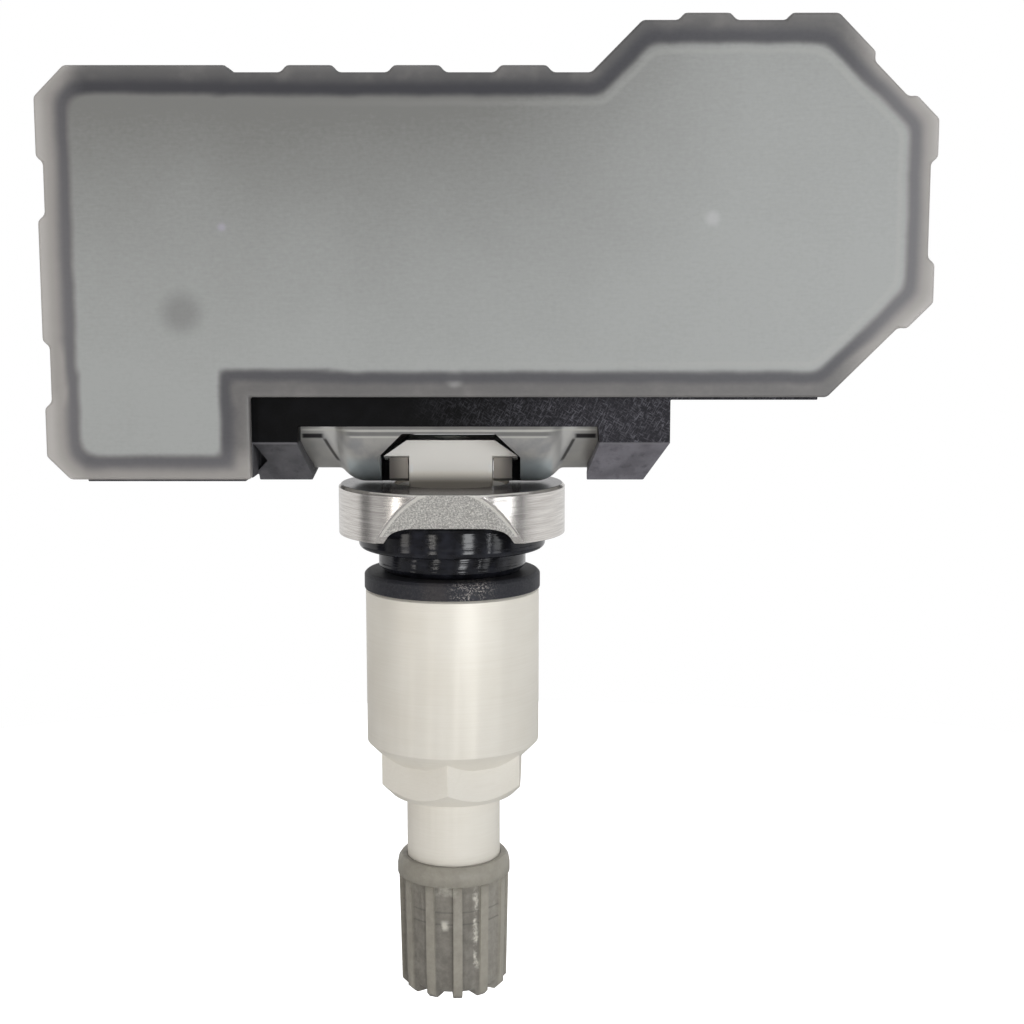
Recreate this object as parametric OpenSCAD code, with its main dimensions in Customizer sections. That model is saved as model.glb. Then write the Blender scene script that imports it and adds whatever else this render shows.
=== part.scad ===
// Tyre pressure sensor: a sealed sensor body that swivels on the head of a clamp-in valve.
// X runs along the body, +Y points away from the cover, +Z points up and the valve points down.
// The origin lies on the valve axis, on the seat that rests against the wheel rim.

/* [Sensor body] */
// Reach of the body to the left of the valve axis
body_left = 32; // [30:0.5:38]
// Reach of the body to the right of the valve axis
body_right = 38.5; // [36:0.5:44]
// Height of the long straight part of the body
body_h = 25.6; // [24:0.2:30]
// Depth of the body from its cover joint to its back
body_depth = 15; // [13.5:0.1:18]
// Part of that depth that lies in front of the valve axis
front_depth = 8.6; // [8.6:0.05:9.4]
// Thickness of the back wall
back_wall = 1.6; // [1:0.1:2.4]
// Slant along the edges of the back
back_bevel = 1.4; // [0.6:0.1:1.5]
// Slant of the plain outer corners
corner_cut = 2.1; // [1.8:0.1:3]
// Height of the clamping ribs around the outline
rib_h = 0.55; // [0.3:0.05:0.8]
// Width of one clamping rib at its top
rib_w = 3.4; // [2.5:0.1:4]
// Distance from one clamping rib to the next
rib_pitch = 8.45; // [7.5:0.05:9]

/* [Cell bay] */
// Left end of the top edge of the cell bay, from the valve axis
bay_left = 15.5; // [14:0.1:17]
// Rise of the bay above the long part of the body
bay_rise = 4; // [2.5:0.1:5]
// Slant of the two right hand corners of the bay
bay_cut = 7.8; // [6:0.1:9]

/* [Leg] */
// Distance from the valve axis to the near side of the leg
leg_side = 16; // [15:0.1:18]
// Drop of the leg below the long part of the body
leg_drop = 6.7; // [5:0.1:7]

/* [Cover] */
// Thickness of the welded cover plate
cover_t = 1.2; // [0.8:0.1:2]
// Distance from the outline to the middle of the weld rib
weld_inset = 1.45; // [1.3:0.05:1.8]
// Width of the weld rib
weld_w = 0.9; // [0.6:0.05:1.2]
// Height of the weld rib above the outer wall
weld_h = 0.3; // [0.2:0.05:0.5]
// Depth of the locating lip behind the cover
lip_depth = 0.9; // [0.5:0.1:1.4]
// Width of the locating lip
lip_w = 0.8; // [0.5:0.1:1.2]
// Step of the body below the lower edges of the cover
under_step = 0.3; // [0.1:0.05:0.4]

/* [Arms] */
// Distance of the outer face of the right arm from the valve axis
arm_out = 18.2; // [17:0.1:20]
// Distance of the inner faces of the arms, at the bottom, from the valve axis
arm_in = 11.3; // [11.2:0.1:12]
// Splay of the inner faces from the bottom up to the facet
arm_splay = 1.1; // [0.6:0.1:1.6]
// Splay of the inner faces from the front to the back
arm_flare = 1.1; // [0.4:0.1:1.4]
// Depth of the ledge below the swivel axis
ledge_drop = 2.85; // [2.4:0.05:3]
// Depth of the arms below the swivel axis
arm_drop = 7.6; // [7:0.1:7.8]
// Height of the slanting facets at the front and back of the arms
facet_h = 3.4; // [2.4:0.1:3.6]
// Run of those facets towards the valve axis
facet_run = 3.4; // [2.4:0.1:4]
// Slant of the outer face of the right arm over that height
arm_slant = 1.9; // [1:0.1:3]
// Rise of the arms' block above the lower edge of the body, at its back
yoke_rise = 4; // [2.5:0.1:6]
// Depth of the notch between the leg and the left arm
notch = 0.9; // [0.5:0.1:1.4]

/* [Swivel hoop] */
// Outer radius of the hoop about the swivel axis
hoop_r = 8.2; // [8:0.05:8.3]
// Thickness of the steel sheet
sheet_t = 1.7; // [1.4:0.05:1.8]
// Half width of the straight middle of the hoop
hoop_flat = 7.3; // [7:0.05:7.5]
// Step from the middle of the hoop in to its side flanges
hoop_step = 1.15; // [1.1:0.05:1.4]
// Slope of the sheet between the middle and the side flanges
hoop_slope = 45; // [38:1:46]
// Inner radius of the bends in the sheet
bend_r = 0.7; // [0.4:0.05:0.9]
// Half width of the hoop over its side flanges
hoop_half = 13; // [12.9:0.05:13.6]
// Half of the angle that the hoop spans
hoop_arc = 75; // [73:1:77]
// Width of the window that lets the valve head in
window_w = 11.9; // [11.8:0.05:12.4]
// Angle of the upper edge of the window from the lowest line of the hoop
window_arc = 64.5; // [62:0.5:66]
// Distance in front of the valve axis at which the window narrows to the slot
window_end = 2.65; // [2.4:0.05:3]
// Slant of the upper corners of the window
window_cut = 2.1; // [1.2:0.1:2.6]
// Width of the corner reliefs beside the slot
relief_w = 0.7; // [0.5:0.05:0.9]
// Length of the corner reliefs
relief_l = 2.2; // [0.8:0.1:2.4]

/* [Valve] */
// Largest tilt of the body on the valve
tilt_max = 30; // [20:1:30]
// Width of the valve head across the slot
head_w = 11.4; // [10.8:0.1:11.7]
// Width of the valve head along its top
head_top_w = 7.5; // [7.4:0.1:9.5]
// Height of the valve head from its lowest line
head_h = 2; // [1.8:0.1:2.6]
// Height of the slants at the sides of the valve head
head_cut = 1.35; // [0.8:0.05:1.35]
// Thickness of the valve head and its neck, from front to back
head_t = 5.7; // [5.4:0.1:6]
// Width of the neck that runs in the slot
neck_w = 7.1; // [6.6:0.05:7.3]
// Fillet at the foot of the neck, in front and behind
neck_foot = 1.1; // [0.6:0.1:1.3]
// Diameter of the shank through the collar and the rim
shank_d = 9.9; // [9.6:0.05:10]
// Length of the shank below the rim seat
shank_l = 16.4; // [15.6:0.1:16.6]
// Diameter of the plain stem below the shank
stem_d = 8.3; // [8:0.05:8.4]
// Length of the whole valve below the rim seat
valve_l = 37.5; // [36.8:0.1:42]
// Root diameter of the thread that carries the cap
tip_d = 7.2; // [7:0.05:7.4]
// Diameter of the air passage
passage_d = 3; // [2:0.1:3.4]

/* [Collar] */
// Diameter of the steel collar
collar_d = 19.7; // [19.3:0.1:20]
// Height of the steel collar
collar_h = 4.3; // [4:0.1:5]
// Depth of the recess under the collar
recess_h = 1.3; // [1:0.1:1.6]
// Wall of the collar around that recess
collar_wall = 0.52; // [0.45:0.01:0.7]
// Fillet at the ceiling of the recess
recess_r = 0.7; // [0.3:0.1:0.9]
// Depth of the flat on the collar at the bottom edge
flat_low = 2.25; // [1.9:0.05:2.5]
// Depth of the flat on the collar at the top edge
flat_high = 0.35; // [0.2:0.05:0.6]
// Height of the small edge bevels on turned parts
turned_bevel = 0.25; // [0.15:0.05:0.4]

/* [Grommet and washer] */
// Height of the grommet's flange
flange_h = 2.6; // [2.3:0.1:3]
// Largest rounding of the flange's edges
flange_round = 0.5; // [0.3:0.05:0.8]
// Diameter of the grommet's neck in the rim hole
grommet_d = 12.86; // [12.2:0.02:13.2]
// Length of the grommet's neck
grommet_l = 2; // [1.6:0.1:3]
// Diameter of the washer
washer_d = 15.4; // [14.6:0.1:15.8]
// Thickness of the washer
washer_t = 1.54; // [1:0.02:2]

/* [Nut] */
// Diameter of the round part of the nut
nut_d = 15.2; // [14.4:0.1:15.6]
// Length of the round part of the nut, with its slant
nut_l = 15.1; // [14.6:0.1:15.6]
// Slant between the round part and the hexagon
nut_cut = 1.5; // [1.2:0.1:1.8]
// Width across the flats of the hexagon
hex_w = 12; // [11:0.1:12.4]
// Length of the hexagon
hex_l = 3.3; // [2.6:0.1:3.6]
// Slant at the end of the hexagon
hex_cut = 1.4; // [0.6:0.1:1.5]
// Turn of the hexagon from square to the cover
hex_turn = -2; // [-30:1:30]

/* [Cap] */
// Diameter of the cap over its rim
cap_d = 10.06; // [9.8:0.02:10.6]
// Length of the cap
cap_l = 11.65; // [11.1:0.05:12]
// Height of the plain rim of the cap
cap_rim = 1.85; // [1.2:0.05:2.4]
// Diameter of the cap between its ribs, at the rim
cap_body_d = 9.1; // [9:0.05:9.4]
// Number of ribs around the cap
cap_ribs = 12; // [8:1:16]
// Width of one rib of the cap
cap_rib_w = 0.8; // [0.5:0.05:1]
// Taper of the cap over its length, on the diameter
cap_taper = 0.4; // [0:0.05:0.4]
// Reach of the ribs past the closed end
rib_over = 0.45; // [0.2:0.05:0.6]
// Thickness of the closed end of the cap
cap_floor = 1.2; // [0.8:0.1:1.4]
// Thickness of the sealing disc in the cap
cap_seal_t = 0.7; // [0.4:0.05:1]

/* [Valve core] */
// Diameter of the core's threaded head
core_d = 5.2; // [5:0.05:5.4]
// Length of the core's threaded head
core_head_l = 5.5; // [4.5:0.1:6]
// Diameter of the core's barrel
barrel_d = 3.7; // [3.5:0.05:3.9]
// Length of the core's barrel
barrel_l = 6.6; // [6:0.1:8]
// Diameter of the core's pin
pin_d = 1; // [0.8:0.05:1.1]
// Travel of the core's pin
pin_travel = 1.2; // [0.8:0.1:1.4]
// Diameter of the spring's wire
spring_wire = 0.3; // [0.25:0.01:0.32]
// Number of turns of the spring
spring_turns = 7; // [5:1:8]

/* [Electronics] */
// Thickness of the circuit board
board_t = 1; // [0.8:0.1:1.6]
// Distance of the board's front from the cover joint
board_y = 8.6; // [8.4:0.1:9]
// Diameter of the coin cell
cell_d = 20; // [18:0.1:20.4]
// Thickness of the coin cell
cell_t = 5; // [3.2:0.1:5.4]
// Width of the cell's welded tabs
tab_w = 4; // [3:0.1:5]
// Thickness of those tabs
tab_t = 0.2; // [0.15:0.05:0.3]
// Length of the tabs past the cell
tab_over = 2.6; // [2:0.1:3]
// Gap between the cell and the board
cell_lift = 1.4; // [1:0.1:1.6]
// Distance of the pressure port from the left end of the body
port_inset = 12; // [11:0.1:13]
// Distance of the pressure port from the top of the body
port_drop = 10; // [9:0.1:12]
// Side of the pressure sensor chip
chip_w = 6.6; // [5:0.1:7.4]
// Height of the pressure sensor chip
chip_t = 2; // [1.6:0.1:2.2]
// Diameter of the pressure port
port_d = 1.8; // [1.2:0.1:2.2]
// Diameter of the antenna's wire
antenna_d = 0.9; // [0.7:0.05:1.1]
// Length of the antenna
antenna_l = 18; // [14:0.5:18]
// Height of the antenna above the board
antenna_h = 4; // [2:0.1:5]
// Thickness of the small chips on the board
flat_chip_t = 0.9; // [0.6:0.05:1.2]
// Side of the radio chip
radio_w = 5; // [4:0.1:6]
// Length of the crystal's can
crystal_w = 3.2; // [2.4:0.1:4]
// Width of one capacitor
capacitor_w = 1; // [0.6:0.05:1.2]
// Length of the wake-up coil's core
coil_l = 8; // [6:0.1:9]
// Diameter of the wake-up coil's winding
coil_d = 2.2; // [1.6:0.1:2.4]
// Diameter of the posts that carry the board
boss_d = 2.4; // [2:0.1:3.2]
// Distance of those posts from the outline of the body
boss_inset = 4.5; // [4:0.1:5]

/* [Clearances] */
// Gap between the grommet's flange and the wall of the collar's recess
flange_gap = 1.18; // [0.8:0.02:1.6]
// Gap between the collar and the hoop
hoop_gap = 0.14; // [0.12:0.01:0.2]
// Gap between the valve head and the inside of the hoop
head_gap = 0.05; // [0.03:0.01:0.1]
// Side gap of the neck in the slot
slot_gap = 0.1; // [0.05:0.01:0.15]
// Angle that the slot runs past the neck at the largest tilt
slot_over = 1.5; // [1:0.5:3]
// Gap between parts that turn or slide on the valve
run_gap = 0.06; // [0.03:0.01:0.08]
// Gap between parts that only rest on each other
rest_gap = 0.03; // [0.01:0.01:0.05]
// Gap around moulded-in and welded parts
seat_gap = 0.01; // [0.01:0.01:0.03]
// Gap between the board and the walls around it
board_gap = 0.4; // [0.2:0.05:0.8]

/* [Hidden] */
$fn = 64;

// Heights on the valve axis, from the rim seat at zero
collar_z = flange_h + run_gap - recess_h;
collar_top = collar_z + collar_h;
swivel_z = collar_top + hoop_gap + hoop_r;
shank_top = collar_top - 0.25;
washer_z = -grommet_l - rest_gap;
nut_z = washer_z - washer_t;
nut_low = nut_z - nut_l;
nut_end = nut_low - hex_l;
cap_end = -valve_l - rest_gap - cap_seal_t - cap_floor;
cap_mouth = cap_end + cap_l;
stem_low = cap_mouth - 0.8;

// Radii about the swivel axis
hoop_in = hoop_r - sheet_t;
head_r = hoop_in - head_gap;
head_low = swivel_z - head_r;
head_top = head_low + head_h;

// Edges of the body, in the frame of the swivel axis
low_z = -0.35;
top_z = low_z + body_h;
bay_z = top_z + bay_rise;
leg_z = low_z - leg_drop;
front_y = -front_depth;
back_y = body_depth - front_depth;
rim_y = front_y + weld_h;
floor_y = back_y - back_wall;
arm_back = front_depth + 0.2;
wall_in = weld_inset + weld_w / 2;
board_front = front_y + board_y;
board_back = board_front + board_t;

// Plain outline of the body, anticlockwise from the foot of the leg
OUTLINE = [
    [-body_left + corner_cut, leg_z], [-leg_side, leg_z], [-leg_side, low_z],
    [body_right - bay_cut, low_z], [body_right, low_z + bay_cut],
    [body_right, bay_z - bay_cut], [body_right - bay_cut, bay_z],
    [bay_left, bay_z], [bay_left - bay_rise, top_z],
    [-body_left + corner_cut, top_z], [-body_left, top_z - corner_cut],
    [-body_left, leg_z + corner_cut]];

// Clamping ribs around the outline: place, outward direction and width
corner_rib_w = corner_cut * sqrt(2) + 2 * rib_h;
RIBS = concat(
    [for (i = [0:2]) [[-rib_pitch * 1.27 + i * rib_pitch, top_z], 90, rib_w]],
    [for (i = [0:1]) [[bay_left + 5.1 + i * rib_pitch, bay_z], 90, rib_w]],
    [
        [[-body_left + 8.4, top_z], 90, 12.3],
        [[-body_left, top_z - 4.2], 180, 4.4],
        [[-body_left, low_z + 9.3], 180, 9.3],
        [[-body_left, low_z - 2.9], 180, 3.8],
        [[-body_left + corner_cut / 2, top_z - corner_cut / 2], 135, corner_rib_w],
        [[-body_left + corner_cut / 2, leg_z + corner_cut / 2], 225, corner_rib_w],
        [[body_right, bay_z - bay_cut - 1.1], 0, 3.1],
        [[body_right, low_z + bay_cut + 1.3], 0, 2.9],
        [[body_right - bay_cut + 1.3, bay_z - 1.3], 45, 4],
        [[body_right - 0.7, bay_z - bay_cut + 0.7], 45, 2.4],
        [[body_right - 0.9, low_z + bay_cut - 0.9], -45, 2.6],
    ]);

// Unit vector of an edge
function along(a, b) = (b - a) / norm(b - a);
// Corner b moved inwards by d, between the edges a-b and b-c of an anticlockwise outline
function inner_corner(a, b, c, d) =
    let (u = along(a, b), v = along(b, c), n = [-u.y, u.x] + [-v.y, v.x])
    b + n * d / (1 + u * v);
// Outline moved inwards by d
function inset(pts, d) = [for (i = [0:len(pts) - 1])
    inner_corner(pts[(i + len(pts) - 1) % len(pts)], pts[i], pts[(i + 1) % len(pts)], d)];
// Points of an arc
function arc(c, r, a0, a1, n = 6) =
    [for (i = [0:n]) c + r * [cos(a0 + (a1 - a0) * i / n), sin(a0 + (a1 - a0) * i / n)]];

// Extrudes a shape drawn in X and Z from y0 to y1
module along_y(y0, y1) {
    translate([0, y1, 0]) rotate([90, 0, 0]) linear_extrude(y1 - y0) children();
}

// Extrudes a shape drawn in Y and Z from x0 to x1
module along_x(x0, x1) {
    translate([x0, 0, 0]) rotate([90, 0, 90]) linear_extrude(x1 - x0) children();
}

// Moves the sensor's parts from the swivel axis to their place above the valve
module at_swivel() {
    translate([0, 0, swivel_z]) children();
}

// Round bar along the swivel axis
module swivel_bar(r, half) {
    translate([-half, 0, 0]) rotate([0, 90, 0]) cylinder(r = r, h = 2 * half, $fn = 96);
}

// Outline of the body with its clamping ribs, none of which reaches below the leg
module ribbed_outline() {
    polygon(OUTLINE);
    intersection() {
        polygon(inset(OUTLINE, -rib_h));
        translate([-2 * body_left, leg_z]) square(4 * body_left);
        for (rib = RIBS) translate(rib[0]) rotate(rib[1] - 90)
            polygon([[-rib[2] / 2 - 2 * rib_h, -rib_h], [rib[2] / 2 + 2 * rib_h, -rib_h],
                [rib[2] / 2, rib_h + 0.1], [-rib[2] / 2, rib_h + 0.1]]);
    }
}

// Convex block with slanting edges around its back
module bevelled_block(pts, y0, y1, bevel) {
    difference() {
        along_y(y0, y1) polygon(pts);
        for (i = [0:len(pts) - 1])
            let (a = pts[i], b = pts[(i + 1) % len(pts)], u = along(a, b))
                translate([a.x, y1 - bevel, a.y]) rotate([0, -atan2(u.y, u.x), 0]) rotate([45, 0, 0])
                    translate([-bevel * 3, 0, -bevel * 4]) cube([norm(b - a) + bevel * 6, bevel * 4, bevel * 4]);
    }
}

// Side outline of the arms, in Y and Z
module arm_side() {
    polygon([
        [rim_y, low_z], [rim_y, -arm_drop + facet_h], [rim_y + facet_run, -arm_drop],
        [arm_back - facet_run, -arm_drop], [arm_back, -arm_drop + facet_h], [arm_back, low_z]]);
}

// Front outline of one arm, in X and Z, from its inner face outwards
module arm_front(outer, slant) {
    polygon([
        [arm_in + arm_splay * 0.6, 1], [arm_in + arm_splay, -arm_drop + facet_h], [arm_in, -arm_drop],
        [outer - slant, -arm_drop], [outer, -arm_drop + facet_h], [outer, 1]]);
}

// Arm on the right, whose lower outer corner slants in
module arm(outer, slant) {
    intersection() {
        along_x(arm_in - 1, outer) arm_side();
        along_y(front_y, arm_back) arm_front(outer, slant);
        translate([0, 0, -arm_drop - 1]) linear_extrude(arm_drop + 2) polygon([
            [arm_in, front_y], [outer, front_y], [outer, arm_back], [arm_in + arm_flare, arm_back]]);
    }
}

// Block below the body that carries the two arms
module yoke() {
    along_x(-leg_side, arm_out) polygon([
        [rim_y, -ledge_drop], [rim_y, low_z + 1], [back_y, low_z + yoke_rise], [arm_back, low_z + yoke_rise / 2],
        [arm_back, -ledge_drop]]);
    arm(arm_out, arm_slant);
    mirror([1, 0, 0]) arm(leg_side, 0);
}

// Section of the hoop's sheet in radius and X, with the sheet's faces moved out by grow
function hoop_edge(r0, bend, other, side) = concat(
    [[r0, 0]],
    arc([r0 - bend, hoop_flat], bend, 0, hoop_slope),
    arc([r0 - hoop_step + other, hoop_flat + (bend + other) * sin(hoop_slope) + slope_run], other,
        180 + hoop_slope, 180),
    [[r0 - hoop_step, side]]);
slope_run = (hoop_step - (2 * bend_r + sheet_t) * (1 - cos(hoop_slope))) / tan(hoop_slope);

// Path that starts on the middle line, with its mirror image before it
function both_sides(path) = concat(
    [for (i = [len(path) - 1:-1:1]) [path[i].x, -path[i].y]], path);
// The same points from last to first
function backwards(path) = [for (i = [len(path) - 1:-1:0]) path[i]];

module hoop_section(grow = 0) {
    outer = hoop_edge(hoop_r + grow, bend_r + sheet_t + grow, bend_r - grow, hoop_half + grow);
    inner = hoop_edge(hoop_in - grow, bend_r - grow, bend_r + sheet_t + grow, hoop_half + grow);
    polygon(concat(both_sides(outer), backwards(both_sides(inner))));
}

// Sheet of the hoop before its window is cut
module hoop_sheet(grow = 0) {
    rotate([0, 90, 0]) rotate([0, 0, -hoop_arc]) rotate_extrude(angle = 2 * hoop_arc, $fn = 96)
        hoop_section(grow);
}

// Window and slot of the hoop, seen from the front
module keyhole() {
    top = -hoop_r * cos(window_arc);
    half = window_w / 2;
    slot_half = neck_w / 2 + slot_gap;
    slot_end = tilt_max + asin(head_t / 2 / hoop_in) + slot_over;
    along_y(-hoop_r - 1, -window_end) polygon([
        [-half, -hoop_r - 1], [half, -hoop_r - 1], [half, top - window_cut], [half - window_cut, top],
        [window_cut - half, top], [-half, top - window_cut]]);
    for (side = [-1, 1]) translate([side * (half - relief_w / 2) - relief_w / 2, -window_end - 0.1, -hoop_r - 1])
        cube([relief_w, relief_l + 0.1, hoop_r]);
    along_x(-slot_half, slot_half) polygon(concat(
        [[0, 0], [-window_end - 0.1, 0], [-window_end - 0.1, -hoop_r - 1], [0, -hoop_r - 1]],
        [for (a = [slot_end / 3, slot_end * 2 / 3, slot_end])
            (hoop_r + 1.5) * [sin(a), -cos(a)]]));
}

module hoop() {
    color("silver") at_swivel() difference() {
        hoop_sheet();
        keyhole();
    }
}

// Room for the valve head above the hoop, over the whole tilt
module head_pocket() {
    intersection() {
        swivel_bar(hoop_in + 0.2, head_w / 2 + 0.5);
        translate([-body_left, -front_depth, -hoop_r - 1]) cube([2 * body_left, 2 * front_depth, hoop_r + 0.3]);
    }
}

module housing() {
    leg = [OUTLINE[0], OUTLINE[1], [-leg_side, top_z - 1], [-body_left, top_z - 1], OUTLINE[11]];
    long_part = [[-body_left, low_z], OUTLINE[3], [body_right - bay_cut, top_z], OUTLINE[9], OUTLINE[10]];
    bay = [[bay_left - bay_rise, low_z], OUTLINE[3], OUTLINE[4], OUTLINE[5], OUTLINE[6], OUTLINE[7], OUTLINE[8]];
    cavity = inset(OUTLINE, wall_in);
    color("#17171a") at_swivel() difference() {
        union() {
            for (block = [leg, long_part, bay]) bevelled_block(block, rim_y, back_y, back_bevel);
            along_y(rim_y, back_y - back_bevel - 1) ribbed_outline();
            along_y(front_y, rim_y) difference() {
                polygon(inset(OUTLINE, weld_inset - weld_w / 2));
                polygon(inset(OUTLINE, wall_in));
            }
            lower_step();
            yoke();
        }
        along_y(front_y - 1, floor_y) polygon(cavity);
        head_pocket();
        hoop_sheet(seat_gap);
        at_port() port_hole();
        leg_notch();
    }
    color("#17171a") at_swivel() bosses();
}

// Small notch between the leg and the facet of the left arm
module leg_notch() {
    along_y(front_y - 1, rim_y + facet_run) polygon([
        [-leg_side, -arm_drop + facet_h], [-leg_side + notch, -arm_drop + 2 * notch],
        [-leg_side, -arm_drop + notch]]);
}

// Strips that stand below the cover along the lower edges of the body
module lower_step() {
    along_y(rim_y, back_y - back_bevel - 1) {
        translate([arm_out - 0.5, low_z - under_step]) square([body_right - bay_cut - arm_out, under_step + 0.2]);
        translate([-body_left + corner_cut + 0.3, leg_z - under_step])
            square([body_left - corner_cut - leg_side - 0.9, under_step + 0.2]);
    }
}

// Place of the pressure port behind the sensor chip
port_x = -body_left + port_inset;
port_z = top_z - port_drop;
module at_port() {
    translate([port_x, 0, port_z]) children();
}

module port_hole() {
    translate([0, floor_y - 1, 0]) rotate([-90, 0, 0]) cylinder(d = port_d, h = back_wall + 2);
}

// Posts on the back wall that carry the board
module bosses() {
    for (p = [
        [-body_left + boss_inset, top_z - boss_inset], [-body_left + boss_inset, leg_z + boss_inset],
        [bay_left - 2 * boss_inset, top_z - boss_inset], [bay_left - 2 * boss_inset, low_z + boss_inset]])
        translate([p.x, board_back, p.y]) rotate([-90, 0, 0]) cylinder(d = boss_d, h = floor_y - board_back);
}

module cover() {
    color("#9a9f9c") at_swivel() {
        along_y(front_y - cover_t, front_y) ribbed_outline();
        along_y(front_y - 0.1, front_y + lip_depth) difference() {
            polygon(inset(OUTLINE, wall_in + seat_gap));
            polygon(inset(OUTLINE, wall_in + seat_gap + lip_w));
        }
    }
}

module circuit_board() {
    outline = inset(OUTLINE, wall_in + board_gap);
    color("#1f5c38") at_swivel() along_y(board_front, board_back) polygon(outline);
}

// Centre of the cell in its bay
cell_x = body_right - wall_in - 2 * board_gap - cell_d / 2;
cell_z = (low_z + bay_z) / 2;
cell_back = board_front - cell_lift;

module coin_cell() {
    step = cell_t / 8;
    color("#c9ccce") at_swivel() translate([cell_x, cell_back, cell_z]) rotate([90, 0, 0]) {
        cylinder(d = cell_d, h = cell_t - step);
        cylinder(d = cell_d - 4 * step, h = cell_t);
    }
}

// Strip that lies on a face of the cell and steps down to the board
module cell_tab(y0, reach) {
    over = tab_w / 2;
    along_y(y0, y0 + tab_t) translate([cell_x + over - reach, cell_z - over]) square([reach, tab_w]);
    along_y(y0, board_front) translate([cell_x + over - reach, cell_z - over]) square([tab_t, tab_w]);
}

module cell_tab_front() {
    color("#d8d9da") at_swivel() cell_tab(cell_back - cell_t - tab_t, cell_d / 2 + tab_over);
}

module cell_tab_back() {
    color("#d8d9da") at_swivel() translate([0, 0, tab_w * 1.25])
        cell_tab(cell_back, cell_d / 2 + tab_over / 2);
}

module pressure_sensor() {
    color("#303236") at_swivel() at_port() difference() {
        translate([-chip_w / 2, board_back, -chip_w / 2]) cube([chip_w, chip_t, chip_w]);
        translate([0, board_back + chip_t * 3 / 4, 0]) rotate([-90, 0, 0]) cylinder(d = port_d, h = chip_t);
    }
}

module port_seal() {
    color("#2a2a2c") at_swivel() at_port() translate([0, board_back + chip_t, 0]) rotate([-90, 0, 0])
        difference() {
            cylinder(d = boss_d + port_d, h = floor_y - board_back - chip_t);
            translate([0, 0, -1]) cylinder(d = port_d, h = floor_y);
        }
}

// Block on the front of the board
module on_board(x, z, size) {
    translate([x - size.x / 2, board_front - size.y, z - size.z / 2]) cube(size);
}

module radio_chip() {
    color("#26282b") at_swivel() on_board(port_x, port_z, [radio_w, flat_chip_t, radio_w]);
}

module wake_coil() {
    flange = coil_d * 1.25;
    end_t = coil_d / 2;
    color("#6b4a32") at_swivel() translate([port_x + port_inset, board_front, port_z]) {
        for (x = [-coil_l / 2, coil_l / 2 - end_t]) translate([x, -flange, -flange / 2])
            cube([end_t, flange, flange]);
        translate([-coil_l / 2 + end_t, -flange / 2, 0]) rotate([0, 90, 0])
            cylinder(d = coil_d, h = coil_l - 2 * end_t);
    }
}

module crystal() {
    color("#b9bcc0") at_swivel() on_board(port_x, port_z - radio_w * 1.3, [crystal_w, flat_chip_t, crystal_w * 0.8]);
}

module capacitors() {
    pitch = capacitor_w * 2.2;
    color("#b58a5a") at_swivel() for (i = [1:5])
        on_board(port_x + radio_w / 2 + i * pitch, port_z - radio_w * 1.5, [capacitor_w, flat_chip_t, capacitor_w * 1.8]);
}

// Wire loop that stands on the board
module antenna() {
    x0 = port_x - radio_w / 2;
    color("#c7a24a") at_swivel() translate([0, board_front, low_z + boss_inset]) {
        for (x = [x0, x0 + antenna_l]) translate([x, 0, 0]) rotate([90, 0, 0])
            cylinder(d = antenna_d, h = antenna_h);
        translate([x0 - antenna_d / 2, -antenna_h, 0]) rotate([0, 90, 0])
            cylinder(d = antenna_d, h = antenna_l + antenna_d);
    }
}

// Head of the valve, whose curved underside slides in the hoop
module valve_head() {
    side = head_top - head_cut;
    intersection() {
        along_y(-head_t / 2, head_t / 2) polygon([
            [-head_w / 2, head_low - 1], [head_w / 2, head_low - 1], [head_w / 2, side],
            [head_top_w / 2, head_top], [-head_top_w / 2, head_top], [-head_w / 2, side]]);
        at_swivel() swivel_bar(head_r, head_w);
    }
}

// Neck from the head down to the shank, with a fillet at its foot
module valve_neck() {
    half = head_t / 2;
    foot = half + neck_foot;
    top = head_low + head_h * 0.7;
    intersection() {
        along_x(-neck_w / 2, neck_w / 2) polygon(concat(
            [[-foot, shank_top - 0.5], [foot, shank_top - 0.5]],
            arc([foot, shank_top + neck_foot], neck_foot, 270, 180),
            [[half, top], [-half, top]],
            arc([-foot, shank_top + neck_foot], neck_foot, 360, 270)));
        translate([0, 0, shank_top - 0.5]) cylinder(d = shank_d - 0.6, h = top, $fn = 96);
    }
}

// Outside of the valve from the shank down to its tip
module valve_outside() {
    rotate_extrude($fn = 96) polygon([
        [0, shank_top], [shank_d / 2 - 0.3, shank_top],
        [shank_d / 2, shank_top - 0.3], [shank_d / 2, -shank_l + 0.6], [stem_d / 2, -shank_l],
        [stem_d / 2, stem_low], [tip_d / 2, stem_low - 0.4], [tip_d / 2, -valve_l + 0.5],
        [tip_d / 2 - 0.5, -valve_l], [0, -valve_l]]);
}

// Depths of the core inside the tip of the valve
core_out = -valve_l + 0.5;
core_step = core_out + core_head_l;
core_in = core_step + barrel_l;
seat_d = barrel_d + 2 * run_gap + 0.6;

module valve_stem() {
    color("#dad5ca") difference() {
        union() {
            valve_head();
            valve_neck();
            valve_outside();
        }
        translate([0, 0, -valve_l - 1]) cylinder(d = passage_d, h = valve_l + head_top + 2);
        translate([0, 0, -valve_l - 1]) cylinder(d = core_d + 2 * run_gap, h = core_step + valve_l + 1);
        translate([0, 0, core_step - 0.01]) cylinder(d = seat_d, h = core_in - core_step + pin_travel + 1.6);
    }
}

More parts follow.
